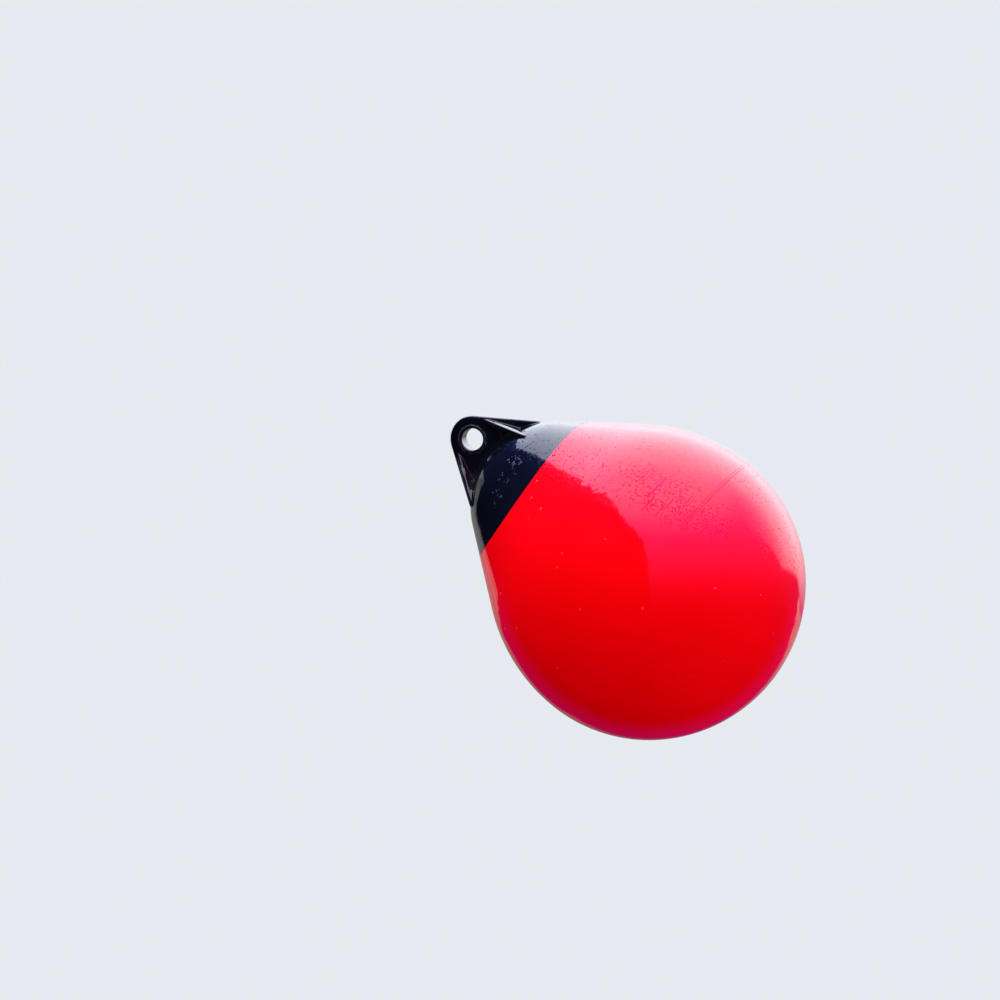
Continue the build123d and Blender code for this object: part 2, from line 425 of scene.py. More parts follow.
@dataclass(frozen=True)
class GlossVinyl(Finish):
    """Wet-looking glossy vinyl, with slight waves, rubbed strokes and small pimples.

    Handled places are X, Y, Z and reach. The weathered side faces along weather_way.
    """

    faded: Colour
    stroked: Colour
    speckled: Colour
    tint: Colour
    wave_depth: float
    stroke_scale: float
    stroke_stretch: float
    stroke_share: float
    stroke_depth: float
    stroke_rough: float
    stroke_ground: float
    pimple_scale: float
    pimple_share: float
    handled: tuple[Span, ...]
    worn: Colour | None = None
    edge_wear: float = 0.0
    # Share of painted shade that an occlusion mask lays in creases and corners.
    corner_shade: float = 0.0
    stroke_rest: float = 1.0
    stroke_lean: float = 0.0
    speck_from: float = 0.635
    speck_share: float = 0.0
    scratched: Pair | None = None
    wear_from: float = -1.0
    parting_level: float | None = None
    cloud: Pattern = (7.0, 4.0, 0.55, 0.35, 0.75)
    weather_way: Triple = (1.0, 0.22, 0.33)
    weather_span: Pair = (-0.046, 0.014)
    handled_core: float = 0.35
    fleck: Triple = (250.0, 2.0, 0.5)
    fleck_handled: float = 0.09
    speck_soft: float = 0.068
    speck_rough: float = 0.1
    speck_depth: float = 0.0001
    speck_lean: float = 0.28
    pimple_depth: float = 0.0007
    pimple_tone: float = 0.12
    wear_width: float = 0.003
    wear_soft: float = 0.01
    # Reach and colour of the painted shade in creases.
    corner_shade_reach: float = 0.02
    corner_shade_colour: Colour = (0.055, 0.05, 0.045)
    dull: float = 0.2
    parting_half: float = 0.0023
    parting_span: Pair = (0.0013, 0.0004)
    parting_rest: float = 0.15
    parting_tone: float = 0.15
    parting_rough: float = 0.1
    parting_lean: float = 0.2
    haze: Pattern = (22.0, 5.0, 0.6, 0.45, 0.8, 0.04, 0.06)
    wave: Triple = (9.0, 1.0, 0.4)
    ripple: Triple = (46.0, 2.0, 0.5)
    ripple_share: float = 0.09
    grain: Triple = (230.0, 2.0, 0.5)
    grain_rest: float = 0.5
    grain_depth: float = 0.00005
    ior: float = 1.53

    def dress(self, bench: Bench, shader: Node, place: Socket) -> None:
        """Wires colour, roughness and relief of the vinyl.

        Args:
            bench: The material's bench.
            shader: Its Principled shader.
            place: Object coordinates.
        """
        handled = self.handling(bench, place)
        weathered = bench.span(bench.dot(place, self.weather_way), *self.weather_span)
        strokes = self.strokes(bench, place, handled, weathered)
        fleck = bench.noise(place, *self.fleck)
        fleck = bench.plus(fleck, bench.times(handled, self.fleck_handled))
        specks = bench.span(fleck, self.speck_from, self.speck_from + self.speck_soft)
        specks = bench.times(specks, weathered)
        pimples = Pimples().lay(bench, place, self.pimple_scale, self.pimple_share)
        level = bench.add("SeparateXYZ", {0: place}).outputs[2]
        parting = self.parting(bench, level, weathered)

        colour = bench.mix(bench.pattern(place, self.cloud), self.colour, self.faded)
        layers = [
            (bench.times(strokes, self.stroke_share), self.stroked),
            (bench.times(specks, self.speck_share), self.stroked),
            (bench.times(pimples, self.pimple_tone), self.speckled),
            (bench.times(parting, self.parting_tone), self.stroked),
        ]
        rough = bench.plus(
            bench.pattern(place, self.haze),
            bench.times(strokes, self.stroke_rough),
            bench.times(parting, self.parting_rough),
            bench.times(specks, self.speck_rough),
        )
        if self.worn is not None:
            top = self.wear_from + self.wear_soft
            wear = bench.span(level, self.wear_from, top, 0.0, self.edge_wear)
            wear = bench.times(EdgeRub().lay(bench, place, self.wear_width), wear)
            # Painted shade: an occlusion mask darkens creases and corners towards the shade colour.
            corner_shade = PaintedCornerShade().lay(bench, place, self.corner_shade_reach)
            corner_shade = bench.times(corner_shade, self.corner_shade)
            layers += [(wear, self.worn), (corner_shade, self.corner_shade_colour)]
            rough = bench.plus(rough, bench.times(bench.plus(wear, corner_shade), self.dull))
        for share, tone in layers:
            colour = bench.mix(share, colour, tone)
        bench.feed(shader.inputs["Base Color"], colour)
        bench.feed(shader.inputs["Roughness"], rough)

        grain = bench.noise(place, *self.grain)
        grain = bench.times(grain, bench.span(weathered, 0.0, 1.0, self.grain_rest, 1.0))
        normal = None
        for height, depth in (
            (bench.noise(place, *self.wave), self.wave_depth),
            (bench.noise(place, *self.ripple), self.wave_depth * self.ripple_share),
            (grain, self.grain_depth),
            (strokes, self.stroke_depth),
            (pimples, self.pimple_depth),
            (specks, -self.speck_depth),
        ):
            normal = bench.bump(height, depth, normal)
        marks = bench.most(
            bench.times(strokes, self.stroke_lean),
            bench.times(specks, self.speck_lean),
            bench.times(parting, self.parting_lean),
        )
        leaning = bench.add("CombineXYZ", {0: marks, 1: marks, 2: marks}).outputs[0]
        normal = bench.bent(leaning, tuple(-way for way in self.weather_way), normal)
        normal = bench.add("VectorMath", {0: normal}, operation="NORMALIZE").outputs[0]
        bench.feed(shader.inputs["Normal"], normal)
        shader.inputs["Specular Tint"].default_value = (*self.tint, 1.0)
        shader.inputs["IOR"].default_value = self.ior

    def handling(self, bench: Bench, place: Socket) -> Value:
        """Returns how much the skin is rubbed: most near the places where it was handled."""
        near = self.stroke_ground
        for x, y, z, reach in self.handled:
            apart = bench.vector("DISTANCE", place, (x, y, z)).outputs["Value"]
            near = bench.most(near, bench.span(apart, reach, self.handled_core * reach))
        return near

    def strokes(self, bench: Bench, place: Socket, handled: Value, weathered: Socket) -> Socket:
        """Returns the rubbed strokes, which thin out away from the weathered side."""
        strokes = TICKS.lay(bench, place, self.stroke_scale, self.stroke_stretch, handled)
        if self.scratched is not None:
            strokes = bench.most(strokes, SCRATCHES.lay(bench, place, *self.scratched, handled))
        return bench.times(strokes, bench.span(weathered, 0.0, 1.0, self.stroke_rest, 1.0))

    def parting(self, bench: Bench, level: Socket, weathered: Socket) -> Value:
        """Returns the two fine lines of the mould's parting, if the piece has one."""
        if self.parting_level is None:
            return 0.0
        off = bench.size(bench.minus(level, self.parting_level))
        off = bench.size(bench.minus(off, self.parting_half))
        kept = bench.span(weathered, 0.0, 1.0, self.parting_rest, 1.0)
        return bench.times(bench.span(off, *self.parting_span), kept)


@dataclass(frozen=True)
class MouldedPlastic(Finish):
    """Hard moulded plastic with a fine spark-eroded grain, rubbed edges and painted shade in its
    creases.
    """

    worn: Colour
    roughness: float = 0.42
    wear_width: float = 0.0009
    # Reach, share and colour of the painted shade in creases.
    corner_shade_reach: float = 0.004
    corner_shade_share: float = 0.6
    corner_shade_colour: Colour = (0.05, 0.045, 0.04)
    dull: float = 0.2
    cloud: Pattern = (90.0, 4.0, 0.6, 0.3, 0.7, 0.0, 0.35)
    cloud_rough: float = 0.3
    grain: Triple = (2600.0, 2.0, 0.6)
    grain_depth: float = 0.00003

    def dress(self, bench: Bench, shader: Node, place: Socket) -> None:
        """Wires grain, wear and grime of the plastic."""
        wear = EdgeRub().lay(bench, place, self.wear_width)
        # Painted shade: an occlusion mask darkens creases and corners.
        corner_shade = PaintedCornerShade().lay(bench, place, self.corner_shade_reach)
        tone = bench.pattern(place, self.cloud)
        colour = bench.mix(bench.math("ADD", tone, wear, clamp=True), self.colour, self.worn)
        colour = bench.mix(bench.times(corner_shade, self.corner_shade_share), colour, self.corner_shade_colour)
        bench.feed(shader.inputs["Base Color"], colour)
        rough = bench.plus(bench.times(tone, self.cloud_rough), self.roughness)
        rough = bench.plus(rough, bench.times(corner_shade, self.dull))
        bench.feed(shader.inputs["Roughness"], rough)
        grain = bench.noise(place, *self.grain)
        bench.feed(shader.inputs["Normal"], bench.bump(grain, self.grain_depth))


@dataclass(frozen=True)
class SealRubber(Finish):
    """Matt soft rubber with a powdery bloom."""

    bloom: Colour
    dust: Pattern = (500.0, 5.0, 0.7, 0.4, 0.75, 0.0, 0.7)
    dust_rough: float = 0.2
    roughness: float = 0.62
    grain: Triple = (3500.0, 2.0, 0.5)
    grain_depth: float = 0.00004

    def dress(self, bench: Bench, shader: Node, place: Socket) -> None:
        """Wires the rubber's bloom and its fine grain."""
        dust = bench.pattern(place, self.dust)
        bench.feed(shader.inputs["Base Color"], bench.mix(dust, self.colour, self.bloom))
        rough = bench.plus(bench.times(dust, self.dust_rough), self.roughness)
        bench.feed(shader.inputs["Roughness"], rough)
        grain = bench.noise(place, *self.grain)
        bench.feed(shader.inputs["Normal"], bench.bump(grain, self.grain_depth))


RED_VINYL = GlossVinyl(
    slot=Slot.RED_VINYL,
    colour=(0.87, 0.0, 0.0012),
    faded=(0.9, 0.0, 0.003),
    stroked=(0.85, 0.0, 0.11),
    speckled=(0.95, 0.09, 0.12),
    tint=(1.0, 0.65, 0.97),
    wave_depth=0.0009,
    stroke_scale=190.0,
    stroke_share=0.5,
    speck_from=0.614,
    stroke_depth=-0.0002,
    pimple_scale=42.0,
    pimple_share=0.2,
    stroke_rough=0.06,
    stroke_ground=0.1,
    stroke_rest=0.1,
    stroke_lean=0.27,
    stroke_stretch=1.6,
    speck_share=0.6,
    scratched=(13.0, 18.461538),
    handled=(
        (0.185, -0.197, -0.353, 0.08),
        (0.166, -0.219, -0.409, 0.07),
        (0.185, -0.201, -0.435, 0.07),
        (0.184, -0.175, -0.3, 0.05),
        (-0.2, 0.12, -0.25, 0.12),
        (-0.05, 0.24, -0.36, 0.1),
    ),
    parting_level=-0.41,
)
BLUE_VINYL = GlossVinyl(
    slot=Slot.BLUE_VINYL,
    colour=(0.0018, 0.0022, 0.0056),
    faded=(0.003, 0.0034, 0.008),
    stroked=(0.05, 0.07, 0.19),
    speckled=(0.1, 0.11, 0.14),
    worn=(0.2, 0.21, 0.27),
    tint=(0.9, 0.94, 1.0),
    wave_depth=0.0006,
    stroke_scale=175.0,
    stroke_share=0.42,
    stroke_depth=0.0003,
    pimple_scale=45.0,
    pimple_share=0.25,
    edge_wear=0.5,
    # Painted shade in the eye end's creases and pockets.
    corner_shade=0.5,
    wear_from=-0.12,
    stroke_rough=0.2,
    stroke_ground=0.15,
    stroke_stretch=0.35,
    handled=(
        (0.032, -0.12, -0.103, 0.034),
        (0.012, -0.127, -0.107, 0.03),
        (-0.018, -0.132, -0.116, 0.025),
        (-0.04, 0.12, -0.11, 0.045),
    ),
)
VALVE_PLASTIC = MouldedPlastic(
    slot=Slot.VALVE_PLASTIC, colour=(0.02, 0.021, 0.024), worn=(0.1, 0.1, 0.105)
)
PLUG_PLASTIC = MouldedPlastic(
    slot=Slot.PLUG_PLASTIC,
    colour=(0.5, 0.51, 0.53),
    worn=(0.62, 0.62, 0.62),
    roughness=0.36,
)
WASHER_RUBBER = SealRubber(
    slot=Slot.WASHER_RUBBER, colour=(0.012, 0.012, 0.012), bloom=(0.05, 0.05, 0.048)
)


class Pen:
    """Draws a half section in X and Z, point by point, for turning about Z."""

    def __init__(self, start: Pair) -> None:
        """Starts the section.

        Args:
            start: Radius and level of its first point.
        """
        self.mesh = bmesh.new()
        self.tip = self.mesh.verts.new((start[0], 0.0, start[1]))

    def line(self, radius: float, level: float, cuts: int = 0) -> None:
        """Draws a straight run to a point.

        Args:
            radius: The point's radius.
            level: The point's level.
            cuts: How many rings divide the run.
        """
        grown = bmesh.ops.extrude_vert_indiv(self.mesh, verts=[self.tip])
        end = Vector((radius, 0.0, level))
        grown["verts"][0].co = end
        bmesh.ops.subdivide_edges(self.mesh, edges=grown["edges"], cuts=cuts)
        self.tip = min(self.mesh.verts, key=lambda vert: (vert.co - end).length)

    def arc(self, centre: Pair, angle: float, steps: int) -> None:
        """Draws an arc round a centre.

        Args:
            centre: Radius and level of the centre.
            angle: The turn in radians, positive from +X towards +Z.
            steps: How many edges it has.
        """
        turned = bmesh.ops.spin(
            self.mesh,
            geom=[self.tip],
            cent=(centre[0], 0.0, centre[1]),
            axis=(0.0, -1.0, 0.0),
            angle=angle,
            steps=steps,
            use_merge=False,
        )
        self.tip = next(v for v in turned["geom_last"] if isinstance(v, bmesh.types.BMVert))

    def turn(self, segments: int) -> Mesh:
        """Turns the section round Z into a closed solid.

        Args:
            segments: How many steps the turn has.

        Returns:
            The finished mesh.
        """
        section = self.mesh.verts[:] + self.mesh.edges[:]
        bmesh.ops.spin(
            self.mesh,
            geom=section,
            cent=(0.0, 0.0, 0.0),
            axis=(0.0, 0.0, 1.0),
            angle=math.tau,
            steps=segments,
            use_merge=True,
        )
        bmesh.ops.remove_doubles(self.mesh, verts=self.mesh.verts, dist=MERGE)
        bmesh.ops.recalc_face_normals(self.mesh, faces=self.mesh.faces)
        return self.mesh


def linked(name: str, data: bpy.types.ID) -> bpy.types.Object:
    """Makes an object of its data and links it to the scene."""
    made = bpy.data.objects.new(name, data)
    bpy.context.scene.collection.objects.link(made)
    return made


def piece(
    name: str, mesh: Mesh, body: Body, finish: Finish, sharp: float
) -> bpy.types.Object:
    """Makes an object of a finished mesh, smooth but for its sharp edges.

    Args:
        name: The piece's name.
        mesh: Its mesh, which is freed.
        body: The body that it rides on.
        finish: Its finish.
        sharp: The angle in degrees from which an edge stays sharp.

    Returns:
        The new object.
    """
    for face in mesh.faces:
        face.smooth = True
    limit = math.radians(sharp)
    for edge in mesh.edges:
        edge.smooth = edge.is_manifold and edge.calc_face_angle(0.0) < limit
    data = bpy.data.meshes.new(name)
    mesh.to_mesh(data)
    mesh.free()
    data.materials.append(finish.material())
    made = linked(name, data)
    even = made.modifiers.new("EvenNormals", "WEIGHTED_NORMAL")
    even.keep_sharp = True
    even.weight = 50
    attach(made, body.value)
    LOG.info("%s: %d faces on %s", name, len(data.polygons), body.value)
    return made


def merged_copy(node: str) -> Mesh:
    """Returns a merged copy of a CAD node's loose triangles."""
    mesh = bmesh.new()
    mesh.from_mesh(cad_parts[node].data)
    bmesh.ops.remove_doubles(mesh, verts=mesh.verts, dist=MERGE)
    return mesh


@dataclass(frozen=True)
class RimLine:
    """Where the skin's rim runs round the cone of the eye end: a level line that sways a little."""

    level: float = -0.147
    cone_angle: float = math.radians(36.5)
    sway: float = 0.0082
    sway_at: float = math.radians(-108.0)
    tilt: float = 0.0014
    tilt_at: float = math.radians(-138.0)
    fade: float = 0.07

    def settle(self, vert: bmesh.types.BMVert, share: float = 1.0) -> None:
        """Slides a vertex along the cone, as far as the rim sways there.

        Args:
            vert: A vertex of the skin's cone or of the eye end's step.
            share: How much of the sway it takes.
        """
        azimuth = math.atan2(vert.co.y, vert.co.x)
        sway = self.sway * math.cos(2.0 * (azimuth - self.sway_at))
        slide = share * (sway + self.tilt * math.cos(azimuth - self.tilt_at))
        outward = math.sin(self.cone_angle) * slide
        down = math.cos(self.cone_angle) * slide
        vert.co += Vector((outward * math.cos(azimuth), outward * math.sin(azimuth), -down))

    def share(self, level: float) -> float:
        """Returns how much of the sway the skin takes at a level below the rim."""
        below = (self.level - level) / (self.fade * math.cos(self.cone_angle))
        rest = 1.0 - min(max(below, 0.0), 1.0)
        return rest * rest * (3.0 - 2.0 * rest)


@dataclass
class InflatedSkin:
    """The red blown skin, with the mould's parting line round its widest place."""

    body_radius: float = 0.275
    shoulder_radius: float = 0.315
    cone_angle: float = math.radians(36.5)
    flank_radius: float = 0.269
    flank_sweep: float = math.radians(45.0)
    equator: float = -0.41
    wall: float = 0.0028
    rim_round: float = 0.0005
    pad_radius: float = 0.042
    pad: float = 0.008
    neck_radius: float = 0.017
    seam_reach: float = math.radians(1.0)
    seam_dip: float = 0.0001
    seam_half: float = 0.0019
    seam_foot: float = 0.0028
    ring_gap: float = 0.005
    segments: int = 240
    inner_steps: tuple[int, ...] = (12, 12, 10)
    sharp: float = 40.0
    line: RimLine = RimLine()

    def __post_init__(self) -> None:
        """Works out the arcs' centres, the cone's run and the rim's outer corner."""
        self.shoulder = (self.body_radius - self.shoulder_radius, self.equator)
        self.flank = (self.body_radius - self.flank_radius, self.equator)
        self.crown = (0.0, self.equator + self.flank[0] * math.tan(self.flank_sweep))
        self.crown_radius = self.flank_radius + self.flank[0] / math.cos(self.flank_sweep)
        self.across = (math.cos(self.cone_angle), math.sin(self.cone_angle))
        self.tangent = (
            self.shoulder[0] + self.shoulder_radius * self.across[0],
            self.equator + self.shoulder_radius * self.across[1],
        )
        self.run = (self.line.level - self.tangent[1]) / self.across[0]
        self.top = (self.tangent[0] - self.across[1] * self.run, self.line.level)

    def arc_steps(self, radius: float, angle: float) -> int:
        """Returns how many edges an arc needs."""
        return max(2, round(radius * abs(angle) / self.ring_gap))

    def under_rim(self, depth: float) -> Pair:
        """Returns the point at a depth in the wall below the rim's outer corner."""
        return self.top[0] - self.across[0] * depth, self.top[1] - self.across[1] * depth

    def build(self) -> bpy.types.Object:
        """Turns the skin's section and dresses it.

        Returns:
            The skin, which stands for its CAD node.
        """
        neck_turn = math.acos(self.neck_radius / self.crown_radius) - self.flank_sweep
        down = self.rim_round
        pen = Pen(self.under_rim(self.rim_round))
        pen.line(self.top[0] + self.across[1] * down, self.top[1] - self.across[0] * down)
        pen.line(*self.tangent, cuts=round(abs(self.run) / self.ring_gap))
        steps = self.arc_steps(self.shoulder_radius, self.cone_angle)
        pen.arc(self.shoulder, self.seam_reach - self.cone_angle, steps)
        self.seam(pen)
        pen.line(
            self.flank[0] + self.flank_radius * math.cos(self.seam_reach),
            self.flank[1] - self.flank_radius * math.sin(self.seam_reach),
        )
        steps = self.arc_steps(self.flank_radius, self.flank_sweep)
        pen.arc(self.flank, self.seam_reach - self.flank_sweep, steps)
        pen.arc(self.crown, -neck_turn, self.arc_steps(self.crown_radius, neck_turn))
        self.inside(pen)
        mesh = pen.turn(self.segments)
        for vert in mesh.verts:
            self.line.settle(vert, self.line.share(vert.co.z))
        made = piece("skin", mesh, Body.BUOY, RED_VINYL, self.sharp)
        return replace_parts(made, "body_shell")

    def seam(self, pen: Pen) -> None:
        """Draws the fine raised parting line between two shallow dips."""
        low, high = self.body_radius - self.seam_dip, self.body_radius
        steps = ((low, 2 * self.seam_foot), (low, self.seam_foot), (high, self.seam_half))
        for side in (1, -1):
            for radius, reach in steps[::side]:
                pen.line(radius, self.equator + side * reach)

    def inside(self, pen: Pen) -> None:
        """Draws the valve's neck and pad and the inner wall, back to the rim."""
        inner = self.crown_radius - self.wall
        pad_level = self.crown[1] - self.crown_radius + self.pad
        pad_turn = math.acos(self.pad_radius / inner)
        pen.line(self.neck_radius, pad_level)
        pen.line(self.pad_radius, pad_level)
        pen.line(self.pad_radius, self.crown[1] - inner * math.sin(pad_turn))
        centres = (self.crown, self.flank, self.shoulder)
        turns = (pad_turn - self.flank_sweep, self.flank_sweep, self.cone_angle)
        for centre, turn, steps in zip(centres, turns, self.inner_steps):
            pen.arc(centre, turn, steps)
        pen.line(*self.under_rim(self.wall))
        pen.line(*self.under_rim(self.rim_round))


@dataclass(frozen=True)
class RibWall:
    """One flat side of the ribs, which swells a little as moulded walls do."""

    slant: Pair
    distance: float
    swell: float = 0.002
    reach: float = 0.006
    plate_half: float = 0.0152
    row: float = 0.0025
    close: float = 0.00001
    flat: float = 0.0001
    facing: float = 0.999

    def swell_out(self, mesh: Mesh, side: float, face: float) -> None:
        """Swells the wall of one rib.

        Args:
            mesh: The eye end's mesh.
            side: 1 or -1: the side of the eye that the rib stands on.
            face: 1 or -1: the face of the plate that it stands on.
        """
        out = Vector((side * self.slant[0], 0.0, self.slant[1])).normalized()
        wall = {f for f in mesh.faces if self.holds(f, out, face)}
        edges = {edge for f in wall for edge in f.edges}
        rim = [edge for edge in edges if len(wall.intersection(edge.link_faces)) == 1]
        ends = [tuple(vert.co.copy() for vert in edge.verts) for edge in rim]
        along = out.cross(Vector((0.0, 1.0, 0.0)))
        for way in (Vector((0.0, 1.0, 0.0)), along):
            low = min(v.co.dot(way) for f in wall for v in f.verts)
            high = max(v.co.dot(way) for f in wall for v in f.verts)
            for row in range(1, int((high - low) / self.row)):
                spot = way * (low + row * self.row)
                geom = list(wall)
                geom += {e for f in wall for e in f.edges} | {v for f in wall for v in f.verts}
                cut = bmesh.ops.bisect_plane(
                    mesh, geom=geom, dist=MERGE, plane_co=spot, plane_no=way
                )
                wall = {f for f in cut["geom"] if isinstance(f, bmesh.types.BMFace)}
        for vert in {v for f in wall for v in f.verts}:
            near = min(self.apart(vert.co, *pair) for pair in ends)
            if near > self.close:
                vert.co += out * (self.swell * (1.0 - math.exp(-near / self.reach)))

    def holds(self, face: bmesh.types.BMFace, out: Vector, side: float) -> bool:
        """Tells whether a face lies in this wall."""
        middle = face.calc_center_median()
        level = abs(middle.dot(out) - self.distance) < self.flat
        return level and face.normal.dot(out) > self.facing and middle.y * side > self.plate_half

    def apart(self, place: Vector, start: Vector, end: Vector) -> float:
        """Returns how far a place lies from a segment."""
        run = end - start
        share = (place - start).dot(run) / max(run.length_squared, MERGE * MERGE)
        return (place - start - run * min(max(share, 0.0), 1.0)).length


@dataclass
class EyeEnd:
    """The navy moulded end: skirt, domed cap, rope eye and four ribs."""

    sharp: float = 38.0
    step: float = 0.002
    line: RimLine = RimLine()
    walls: tuple[RibWall, ...] = (
        RibWall((0.911915, 0.41038), 0.0412975),
        RibWall((-0.911915, -0.41038), -0.0332975),
    )

    def build(self) -> bpy.types.Object:
        """Takes the CAD form, swells its ribs, fits its step to the skin's rim and dresses it.

        Returns:
            The eye end, which stands for its CAD node.
        """
        mesh = merged_copy("rope_hold")
        for wall in self.walls:
            for side in (1.0, -1.0):
                for face in (1.0, -1.0):
                    wall.swell_out(mesh, side, face)
        for vert in mesh.verts:
            if self.line.level - self.step < vert.co.z < self.line.level + MERGE:
                self.line.settle(vert)
        made = piece("eye_end", mesh, Body.BUOY, BLUE_VINYL, self.sharp)
        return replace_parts(made, "rope_hold")


@dataclass
class AirValve:
    """The valve's housing, screw plug and seal at the bottom pole."""

    edge: float = 0.0002
    edge_steps: int = 2
    flat: float = 1.0
    sharp: float = 30.0
    corners: int = 4

    def build(self) -> list[bpy.types.Object]:
        """Rounds the valve parts' edges and dresses them.

        Returns:
            The three pieces, which stand for their CAD nodes.
        """
        parts = (
            ("valve_housing", "valve_seat", Body.BUOY, VALVE_PLASTIC),
            ("screw_plug", "valve_plug", Body.PLUG, PLUG_PLASTIC),
            ("seal_ring", "valve_washer", Body.WASHER, WASHER_RUBBER),
        )
        made = []
        for name, node, body, finish in parts:
            part = piece(name, self.rounded(merged_copy(node)), body, finish, self.sharp)
            made.append(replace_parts(part, node))
        return made

    def rounded(self, mesh: Mesh) -> Mesh:
        """Bevels a mesh's sharp edges a little.

        Args:
            mesh: A merged mesh.

        Returns:
            The same mesh.
        """
        flat = math.radians(self.flat)
        bmesh.ops.dissolve_limit(mesh, angle_limit=flat, verts=mesh.verts, edges=mesh.edges)
        limit = math.radians(self.sharp)
        closed = [edge for edge in mesh.edges if edge.is_manifold]
        hard = [edge for edge in closed if edge.calc_face_angle(0.0) > limit]
        bmesh.ops.bevel(
            mesh,
            geom=hard,
            affect="EDGES",
            offset=self.edge,
            segments=self.edge_steps,
            profile=0.5,
            material=-1,
            clamp_overlap=True,
        )
        many = [face for face in mesh.faces if len(face.verts) > self.corners]
        bmesh.ops.triangulate(mesh, faces=many)
        return mesh


@dataclass
class Overcast:
    """What the gloss mirrors: an overcast panel that fades down, over a dark blue card.

    way is the ray's direction; up, across and towards are how far it points to the picture's top,
    to its right and to the camera. Tables pair an angle in degrees, or a height from 0 to 1, with
    a value.
    """

    bench: Bench
    way: Socket
    up: Socket
    across: Socket
    towards: Socket
    overhead: Colour = (0.78, 0.84, 1.12)
    beyond: Colour = (0.82, 0.89, 0.93)
    dusk: Colour = (1.0, 0.17, 0.82)
    night: Colour = (0.6, 0.5, 0.62)
    haze: Colour = (1.0, 0.015, 0.5)
    haze_share: float = 0.06
    horizon: Colour = (1.0, 0.95, 0.95)
    ground: Colour = (2.0, 0.95, 0.9)
    card: Colour = (0.08, 0.2, 1.0)
    card_share: float = 0.065
    card_soft: float = 0.0015
    verge_drop: float = -0.03
    verge_gain: float = 2.6
    ripple: Triple = (13.0, 1.0, 0.5)
    ripple_depth: float = 0.03
    wrinkle: Triple = (26.0, 1.0, 0.5)
    wrinkle_depth: float = 0.022
    thread: Pattern = (7.0, 2.0, 0.5, 0.5, 0.54)
    thread_drop: float = 0.016
    thread_wrinkle: float = 0.05
    thread_span: Pair = (0.003, 0.001)
    thread_from: Pair = (0.335, 0.35)
    thread_to: Pair = (0.415, 0.395)
    thread_glow: float = 0.6
    astern_dim: Span = (0.82, 0.985, 1.0, 0.5)
    far_day: Span = (0.38, 0.54, 0.2, 0.95)
    front_day: Pair = (0.34, 1.0)
    open_across: Pair = (-0.45, 0.05)
    night_across: Pair = (-0.05, -0.3)
    night_astern: Pair = (-0.2, 0.2)
    haze_astern: Pair = (0.45, 0.8)
    haze_up: Pair = (-0.02, -0.2)
    streak_scale: float = 3.0
    streak_rings: float = 24.0
    streak: Pattern = (1.6, 3.0, 0.65, 0.36, 0.64, 0.15, 1.6)
    streak_end: Pair = (0.8, 0.9)
    streak_rest: Colour = (0.8, 0.8, 0.8)
    rim_wrinkle: float = 0.06
    rim_soft: float = 0.012
    rim_behind: Pair = (0.6, 0.2)
    ground_up: Pair = (-0.1, -0.4)
    front_fade: Stops = (
        (0, 0), (0.3, 0.004), (0.4, 0.016), (0.5, 0.06), (0.587, 0.16), (0.655, 0.25),
        (0.772, 0.41), (0.866, 0.64), (0.933, 0.79), (0.97, 0.83), (1, 0.8),
    )
    back_fade: Stops = (
        (0.17, 0.016), (0.26, 0.038), (0.39, 0.05), (0.474, 0.15), (0.509, 0.3), (0.54, 0.42),
        (0.59, 0.6), (0.65, 0.7), (0.815, 0.84), (0.877, 0.96), (0.933, 1), (1, 0.98),
    )
    back_edge: Stops = (
        (-180, 0), (-165, 12), (-150, 30), (-136, 45), (-130, 50), (-60, 60), (0, 66), (40, 54),
        (65, 42), (86, 32.5), (98, 23.5), (108, 14), (114, 6), (138, 1.6), (143, -2), (150, -5),
        (180, -2),
    )
    back_soft: Stops = (
        (-180, 0.02), (-140, 0.03), (-100, 0.1), (60, 0.1), (88, 0.04), (110, 0.012), (180, 0.02),
    )
    back_share: Stops = (
        (-180, 1), (-140, 1), (-90, 0.9), (-60, 0.3), (-30, 0), (76, 0), (92, 0.12), (100, 0.25),
        (112, 0.55), (124, 0.9), (180, 1),
    )
    card_edge: Stops = (
        (-180, -40), (-169, -30), (-162, 38), (-141, 46), (-120, 52), (-97, 61.5), (-86, 58.6),
        (-77, 60.2), (-52, 59.6), (-43, 57.5), (-33, 53.5), (-24, 47), (-13, 40), (-4, 31),
        (2, -20), (180, -40),
    )
    horizon_reach: Stops = (
        (-180, 46), (-174, 42), (-166, 34), (-158, 25), (-150, 27), (-135, 22), (-120, 27),
        (-105, 20), (-90, 17), (-75, 13), (-60, 17), (-45, 21), (-30, 26), (-21, 32), (-8, 36),
        (4, 35), (12, 20), (148, 20), (160, 58), (170, 52), (180, 46),
    )
    horizon_glow: Stops = (
        (-180, 0.1), (-165, 0.08), (-150, 0.06), (-120, 0.045), (-90, 0.03), (-60, 0.04),
        (-40, 0.07), (-28, 0.1), (-15, 0.11), (-6, 0.19), (6, 0.24), (12, 0.3), (148, 0.3),
        (160, 0.09), (180, 0.1),
    )

    def __post_init__(self) -> None:
        """Lays out the measures that several parts of the panel share."""
        bench = self.bench
        self.half_up = bench.plus(bench.times(self.up, 0.5), 0.5)
        self.turn = bench.turned(self.across, self.towards)
        self.astern = bench.times(self.towards, -1.0)
        self.fine = bench.minus(bench.noise(self.way, *self.wrinkle), 0.5)
        share = bench.ramp(self.turn, compass(self.back_share))
        self.behind = bench.times(self.past_back_edge(), share)

